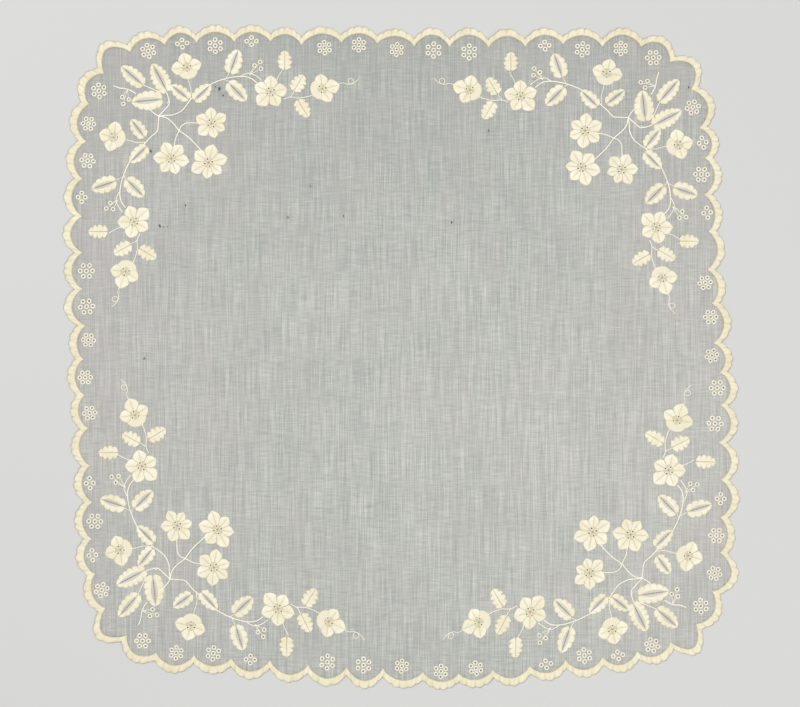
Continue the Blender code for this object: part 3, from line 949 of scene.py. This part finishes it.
def floss_material(name, colour, deep, pitch, depth):
    """Soft embroidery cotton: matt, cream, in close ridged stitches."""
    material, tree, shader = start_material(name, 0.72)
    shader.inputs["Sheen Weight"].default_value = 0.12
    place = add_node(tree, "ShaderNodeTexCoord")
    cloud = noise(tree, place.outputs["Object"], 9, 9, 3)
    fibre = noise(tree, place.outputs["Object"], 0.5, 0.5, 2)
    aged = weigh(tree, total(tree, times(tree, cloud, 0.55), times(tree, fibre, 0.45)), 0.4, 0.62)
    tint = blend_of(tree, aged, (*colour, 1), (*deep, 1))
    # Painted shade: the attribute darkens the cotton in its grooves, veins, gaps and hollows.
    painted_shade = add_node(tree, "ShaderNodeAttribute", attribute_name="painted_shade").outputs["Fac"]
    tint = blend_of(tree, painted_shade, tint, (*linear(FLOSS_PAINTED_SHADE), 1))
    tree.links.new(tint, shader.inputs["Base Color"])
    apart = add_node(tree, "ShaderNodeSeparateXYZ", {0: place.outputs["UV"]}).outputs[0]
    ridge = add_node(
        tree, "ShaderNodeMath", {0: times(tree, apart, tau / pitch)}, operation="SINE"
    ).outputs[0]
    relief = total(tree, ridge, times(tree, fibre, 0.8))
    bump = add_node(
        tree, "ShaderNodeBump", {"Height": relief, "Strength": 0.6, "Distance": depth * MM}
    )
    tree.links.new(bump.outputs[0], shader.inputs["Normal"])
    return material


def stitch_material():
    """Satin stitch in soft cotton. Its threads are drawn 0.55 mm wide, so that they show."""
    stitch = bpy.context.scene.kerchief_stitch
    found = bpy.data.materials.get("satin_stitch_cotton")
    return found or floss_material(
        "satin_stitch_cotton", stitch.colour, stitch.deep_colour, 0.55, 0.05
    )


# Pieces

class KERCHIEF_OT_cloth(bpy.types.Operator):
    """Makes the sheer muslin with its eyelet holes"""

    bl_idname = "kerchief.cloth"
    bl_label = "Muslin"

    def execute(self, context):
        cloth = context.scene.kerchief_cloth
        points, edges, holes_painted_dark = [], [], []

        def add_ring(ring, value=0.0):
            first = len(points)
            points.extend(ring)
            holes_painted_dark.extend([value] * len(ring))
            edges.extend((first + n, first + (n + 1) % len(ring)) for n in range(len(ring)))
            return range(first, first + len(ring))

        rim = scallop_ring(0.5, 12) - MIDDLE
        add_ring(rim)
        holes = {}
        eyelets = cluster_eyelets() + spray_eyelets()
        for number, eyelet in enumerate(eyelets):
            circle = [
                np.array((eyelet.x, eyelet.y)) + unit(45 * n) * eyelet.hole / 2 for n in range(8)
            ]
            for index in add_ring(circle):
                holes[index] = number
        # Each needle hole is not cut but painted as shade, darkest in its middle.
        for spot in needle_holes():
            add_ring([spot + unit(60 * n) * NEEDLE_HOLE / 2 for n in range(6)], 0.6)
            for n in range(6):
                points.append(spot + unit(60 * n + 30) * NEEDLE_STEP * 0.48)
                holes_painted_dark.append(0.05)
            points.append(spot)
            holes_painted_dark.append(1.0)
        # Each worn break is painted as shade: a dark spot in the weave.
        for flaw in FLAWS:
            spot = np.array((flaw.x, flaw.y)) - MIDDLE
            long_way = unit(flaw.turn) * flaw.length / 2
            short_way = left_of(unit(flaw.turn)) * flaw.width / 2
            for reach, value in ((1.0, 0.9), (1.8, 0.1)):
                turns = [unit(60 * n) * reach for n in range(6)]
                add_ring([spot + long_way * turn[0] + short_way * turn[1] for turn in turns], value)
            points.append(spot)
            holes_painted_dark.append(1.0)
        step = cloth.grain / MM
        low, high = rim.min(0), rim.max(0)
        columns = np.arange(low[0] + step / 2, high[0], step)
        rows = np.arange(low[1] + step / 2, high[1], step)
        for x in columns:
            for y in rows:
                points.append(np.array((x, y)))
                holes_painted_dark.append(0.0)
        found, _, faces, origins, _, _ = delaunay_2d_cdt(
            [Vector(p) for p in points], edges, [], 1, CUT_TOLERANCE
        )
        source = [origin[0] if origin else -1 for origin in origins]
        kept = [
            face for face in faces
            if len({holes.get(source[index], -1 - index) for index in face}) > 1
        ]
        flat = np.array([tuple(p) for p in found])
        used = np.zeros(len(flat), bool)
        used[np.array(kept).ravel()] = True
        renumber = np.cumsum(used) - 1
        flat = flat[used]
        mesh = bpy.data.meshes.new("muslin_ground")
        mesh.from_pydata(
            np.column_stack((flat, lie(flat))) * MM, [], renumber[np.array(kept)].tolist()
        )
        values = np.array([holes_painted_dark[s] if s >= 0 else 0.0 for s in source])[used]
        mark = mesh.attributes.new("holes_painted_dark", "FLOAT", "POINT")
        mark.data.foreach_set("value", values.astype(np.float32))
        mesh.materials.append(muslin_material())
        mesh.shade_smooth()
        item = bpy.data.objects.new("muslin_ground", mesh)
        context.collection.objects.link(item)
        clear_selection()
        context.view_layer.objects.active = item
        item.select_set(True)
        layer = item.modifiers.new("both_faces", "SOLIDIFY")
        layer.thickness = cloth.thickness
        layer.offset = 0
        bpy.ops.object.modifier_apply(modifier=layer.name)
        item.select_set(False)
        finish_piece(item)
        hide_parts(CLOTH_NODE)
        return {"FINISHED"}


class KERCHIEF_OT_edge(bpy.types.Operator):
    """Makes the buttonhole-stitched edge from a ring laid along the scallops"""

    bl_idname = "kerchief.edge"
    bl_label = "Buttonhole Edge"

    def execute(self, context):
        stitch = context.scene.kerchief_stitch
        slot, column, faces = rolled_template(8, EDGE_COLUMNS * len(SIDES) * (SCALLOPS + 1))
        outer = scallop_ring(0, EDGE_COLUMNS, lobed=True) - MIDDLE
        inner = scallop_ring(1.06, EDGE_COLUMNS) - MIDDLE
        share = np.array((0.0, 0.05, 0.28, 0.7, 1.0, 0.75, 0.4, 0.06))[slot]
        lift = np.array((0.25, 0.74, 1.0, 0.78, 0.1, -0.3, -0.4, -0.1))[slot]
        lobe = lobe_waves(EDGE_COLUMNS).ravel()[column]
        valley = np.exp(-(lobe / 0.3) ** 2) * (1 - share)
        # Two columns make one stitch, so the stitches are drawn about 1 mm wide, to show.
        twist = np.where(column % 2 == 0, 1.0, 0.84)
        wobble = 1 + 0.06 * np.sin(column * 0.9) * np.sin(column * 0.37)
        up = np.where(lift > 0, lift * twist * wobble * (1 - 0.4 * valley), lift)
        flat = outer[column] + (inner[column] - outer[column]) * share[:, None]
        stitches = np.stack((np.zeros(len(share)), share * 4), -1)
        # Painted shade: a small dark dot between the threads, where each stitch was drawn tighter.
        dark_gaps = np.clip(np.sin(column * 1.3 + slot * 2.1) * np.sin(column * 0.47 + slot), 0, 1)
        # Painted shade between the lobes, on the lower columns, in the gaps and along the band's
        # inner edge.
        painted_shades = 0.45 * valley + 0.25 * (twist < 1) + 0.4 * dark_gaps + 0.3 * (share > 0.95)
        painted_shades = np.where(lift > 0, painted_shades, 0.4)
        work = Needlework()
        work.add(flat, up * stitch.band_rise / MM, faces, stitches, painted_shades)
        item = work.make("buttonhole_edge", edge_material())
        finish_piece(item)
        return {"FINISHED"}


def edge_material():
    """Buttonhole stitch in the same cotton, a little soiled by use. Its ridges are in the mesh."""
    return floss_material(
        "buttonhole_stitch_cotton", linear(EDGE_FLOSS), linear(EDGE_DEEP), 0.55, 0.02
    )


def bell_material():
    """Fine, thin satin stitch that lets a little of the grey ground through."""
    stitch = bpy.context.scene.kerchief_stitch
    return floss_material("fine_stitch_cotton", linear(FINE_FLOSS), stitch.deep_colour, 0.45, 0.03)


class KERCHIEF_OT_flowers(bpy.types.Operator):
    """Makes the padded flowers of the four sprays"""

    bl_idname = "kerchief.flowers"
    bl_label = "Flowers"

    def execute(self, context):
        rise = context.scene.kerchief_stitch.pad_rise / MM
        petals, bells, centres = Needlework(), Needlework(), Needlework()
        petal, bell = pad_template(12, 13), pad_template(18, 6)
        centre = {3: centre_template(3), 4: centre_template(4)}
        for half in sprays():
            for flower in half.flowers:
                for index in range(len(flower.petals)):
                    add_petal(petals, petal, flower, index, half.place, rise)
                if len(flower.petals) == 3:
                    add_bell(bells, bell, flower, half.place, rise)
                add_centre(centres, centre[min(len(flower.petals), 4)], flower, half.place, rise)
        finish_piece(petals.make("satin_stitch_flowers", stitch_material()))
        finish_piece(bells.make("flower_backs", bell_material()))
        finish_piece(centres.make("flower_centres", stitch_material()))
        return {"FINISHED"}


def ladder_material():
    """Thin whipped bars over the grey ground, drawn 1.3 mm apart, so that they show."""
    return floss_material("whipped_bar_cotton", linear(LADDER), linear(LADDER_DEEP), 1.3, 0.05)


class KERCHIEF_OT_leaves(bpy.types.Operator):
    """Makes the open leaves and the small lobed leaves of the four sprays"""

    bl_idname = "kerchief.leaves"
    bl_label = "Leaves"

    def execute(self, context):
        rise = context.scene.kerchief_stitch.pad_rise / MM
        leaves, leaflets, ladders = Needlework(), Needlework(), Needlework()
        pad, small_pad, ladder_pad = pad_template(7, 42), pad_template(7, 30), pad_template(2, 18)
        for half in sprays():
            for hand in (-1, 1):
                for leaf in half.leaves:
                    add_leaf_half(
                        leaves, pad, leaf, hand, True, LEAF_LOBE_DEPTH, half.place, rise
                    )
                    add_ladder(ladders, ladder_pad, leaf, hand, half.place)
                for leaf in half.leaflets:
                    add_leaf_half(
                        leaflets, small_pad, leaf, hand, False, LEAFLET_LOBE_DEPTH, half.place, rise
                    )
        finish_piece(leaves.make("open_leaves", stitch_material()))
        finish_piece(leaflets.make("small_leaves", stitch_material()))
        finish_piece(ladders.make("leaf_ladders", ladder_material()))
        return {"FINISHED"}


class KERCHIEF_OT_eyelets(bpy.types.Operator):
    """Makes the overcast rings round the eyelet holes"""

    bl_idname = "kerchief.eyelets"
    bl_label = "Eyelet Rings"

    def execute(self, context):
        template, faces = ring_template(12, 5)
        radius = np.hypot(template[:, 0], template[:, 1])
        direction = template[:, :2] / radius[:, None]
        share = (radius - 0.6) / 0.8
        height = template[:, 2] / 0.4
        turn = np.arctan2(template[:, 1], template[:, 0])
        work = Needlework()
        for number, eyelet in enumerate(cluster_eyelets() + spray_eyelets()):
            reach = eyelet.hole / 2 + (eyelet.outer - eyelet.hole) / 2 * share
            reach = reach * (1 + 0.035 * np.sin(2 * turn + number))
            flat = np.array((eyelet.x, eyelet.y)) + direction * reach[:, None]
            up = np.where(height > 0, 0.12 + 0.34 * height, 0.24 * height)
            stitches = np.stack((turn * eyelet.outer / 2, reach), -1)
            # Painted shade on the inner side of each ring, beside its hole.
            painted_shades = 0.25 * np.clip(1 - share / 0.25, 0, 1)
            work.add(flat, up, faces, stitches, painted_shades)
        item = work.make("eyelet_rings", ring_material())
        finish_piece(item)
        return {"FINISHED"}


def ring_material():
    """Overcast stitch, close and fine, round each hole."""
    stitch = bpy.context.scene.kerchief_stitch
    return floss_material("overcast_cotton", linear(RING_FLOSS), stitch.colour, 0.4, 0.03)


def smooth_line(points, step):
    """Points every step millimetres along a smooth curve through the given ones."""
    points = np.asarray(points, float)
    padded = np.vstack((2 * points[0] - points[1], points, 2 * points[-1] - points[-2]))
    line = []
    for n in range(len(points) - 1):
        a, b, c, d = padded[n:n + 4]
        count = max(2, int(np.linalg.norm(c - b) / step))
        for t in np.arange(count) / count:
            line.append(
                0.5 * (2 * b + (c - a) * t + (2 * a - 5 * b + 4 * c - d) * t * t
                       + (3 * b - a - 3 * c + d) * t ** 3)
            )
    line.append(points[-1])
    return np.array(line)


class KERCHIEF_OT_stems(bpy.types.Operator):
    """Makes the corded stems, the tendrils and the darned slit as beaded curves"""

    bl_idname = "kerchief.stems"
    bl_label = "Stems"

    def execute(self, context):
        curve = bpy.data.curves.new("corded_stems", "CURVE")
        curve.dimensions = "3D"
        curve.bevel_depth = 0.5 * MM
        curve.bevel_resolution = 2
        curve.use_fill_caps = True

        def add_line(points, width, sink=0.1):
            spline = curve.splines.new("POLY")
            spline.points.add(len(points) - 1)
            z = lie(points) + 0.12 + width * 0.5 - sink - width * 0.25
            for index, point in enumerate(spline.points):
                point.co = (points[index][0] * MM, points[index][1] * MM, z[index] * MM, 1)
                point.radius = width * STEM_THICKNESS * (1 + 0.1 * sin(index * 2.1))

        for half in sprays():
            for stem in half.stems:
                add_line(half.place(smooth_line(stem.points, STEM_STEP)), stem.width)
            for trio in half.trios:
                foot = np.array((trio.foot_x, trio.foot_y))
                for spot in trio_spots(trio):
                    gap = spot - foot
                    end = foot + gap * (1 - STALK_GAP / np.linalg.norm(gap))
                    add_line(half.place(smooth_line((foot, end), STEM_STEP)), STALK_WIDTH)
        stops = np.linspace(MEND_LOW, MEND_HIGH, MEND_STITCHES)
        zigzag = MEND_X + MEND_REACH * (-1) ** np.arange(MEND_STITCHES)
        add_line(np.stack((zigzag, stops), -1) - MIDDLE, MEND_WIDTH)
        item = bpy.data.objects.new("corded_stems", curve)
        context.collection.objects.link(item)
        clear_selection()
        context.view_layer.objects.active = item
        item.select_set(True)
        bpy.ops.object.convert(target="MESH")
        item = context.object
        item.data.shade_smooth()
        item.data.materials.clear()
        item.data.materials.append(stem_material())
        item.select_set(False)
        finish_piece(item)
        return {"FINISHED"}


def stem_material():
    """Corded stitch: whiter thread wound closely over a laid cord."""
    stitch = bpy.context.scene.kerchief_stitch
    return floss_material("corded_cotton", linear(STEM_FLOSS), stitch.colour, 0.4, 0.02)


class KERCHIEF_OT_stage(bpy.types.Operator):
    """Sets the plain table, the soft light and the camera straight above"""

    bl_idname = "kerchief.stage"
    bl_label = "Table, Light and Camera"

    def execute(self, context):
        stage = context.scene.kerchief_stage
        clear_selection()
        bpy.ops.mesh.primitive_plane_add(size=TABLE_SIZE, location=(0, 0, 0))
        table = context.object
        table.name = "table"
        material, _, shader = start_material("matt_painted_board", 0.85)
        shader.inputs["Base Color"].default_value = (*stage.table_colour, 1)
        table.data.materials.append(material)
        table.select_set(False)
        lamps = (
            ("key", (-0.9, 0.9, 1.7), 1.2, stage.light),
            ("fill", (1.0, -0.8, 1.7), 1.5, stage.light * 0.95),
        )
        for name, place, size, power in lamps:
            bpy.ops.object.light_add(type="AREA", location=place)
            lamp = context.object
            lamp.name = name
            lamp.data.size = size
            lamp.data.energy = power
            lamp.rotation_euler = Vector(place).to_track_quat("Z", "Y").to_euler()
            lamp.select_set(False)
        world = bpy.data.worlds.new("studio")
        world.use_nodes = True
        world.node_tree.nodes["Background"].inputs[0].default_value = (1, 1, 1, 1)
        world.node_tree.nodes["Background"].inputs[1].default_value = 0.35
        context.scene.world = world
        context.scene.view_settings.view_transform = "Standard"
        wide = VIEW_PIXELS * PIXEL * MM
        aim = (np.array((0, VIEW_RISE * PIXEL)) - MIDDLE) * MM
        camera = bpy.data.cameras.new("camera")
        camera.lens = stage.lens
        camera.sensor_width = SENSOR
        away = wide * stage.lens / SENSOR
        eye = bpy.data.objects.new("camera", camera)
        eye.location = (*aim, away)
        context.collection.objects.link(eye)
        context.scene.camera = eye
        return {"FINISHED"}


class KERCHIEF_PT_panel(bpy.types.Panel):
    """Lists the settings and the pieces"""

    bl_label = "Handkerchief"
    bl_idname = "KERCHIEF_PT_panel"
    bl_space_type = "VIEW_3D"
    bl_region_type = "UI"
    bl_category = "Handkerchief"

    def draw(self, context):
        scene = context.scene
        for group in (scene.kerchief_cloth, scene.kerchief_stitch, scene.kerchief_stage):
            box = self.layout.box()
            for name in group.__annotations__:
                box.prop(group, name)
        for operator in OPERATORS:
            self.layout.operator(operator.bl_idname)


OPERATORS = (
    KERCHIEF_OT_cloth,
    KERCHIEF_OT_edge,
    KERCHIEF_OT_flowers,
    KERCHIEF_OT_leaves,
    KERCHIEF_OT_eyelets,
    KERCHIEF_OT_stems,
    KERCHIEF_OT_stage,
)
GROUPS = (
    ("kerchief_cloth", ClothSettings),
    ("kerchief_stitch", StitchSettings),
    ("kerchief_stage", StageSettings),
)


def register():
    for name, group in GROUPS:
        bpy.utils.register_class(group)
        setattr(bpy.types.Scene, name, PointerProperty(type=group))
    for item in (*OPERATORS, KERCHIEF_PT_panel):
        bpy.utils.register_class(item)


def unregister():
    for item in (KERCHIEF_PT_panel, *reversed(OPERATORS)):
        bpy.utils.unregister_class(item)
    for name, group in reversed(GROUPS):
        delattr(bpy.types.Scene, name)
        bpy.utils.unregister_class(group)


def main():
    register()
    bpy.ops.kerchief.cloth()
    bpy.ops.kerchief.edge()
    bpy.ops.kerchief.flowers()
    bpy.ops.kerchief.leaves()
    bpy.ops.kerchief.eyelets()
    bpy.ops.kerchief.stems()
    bpy.ops.kerchief.stage()


if __name__ == "__main__":
    main()
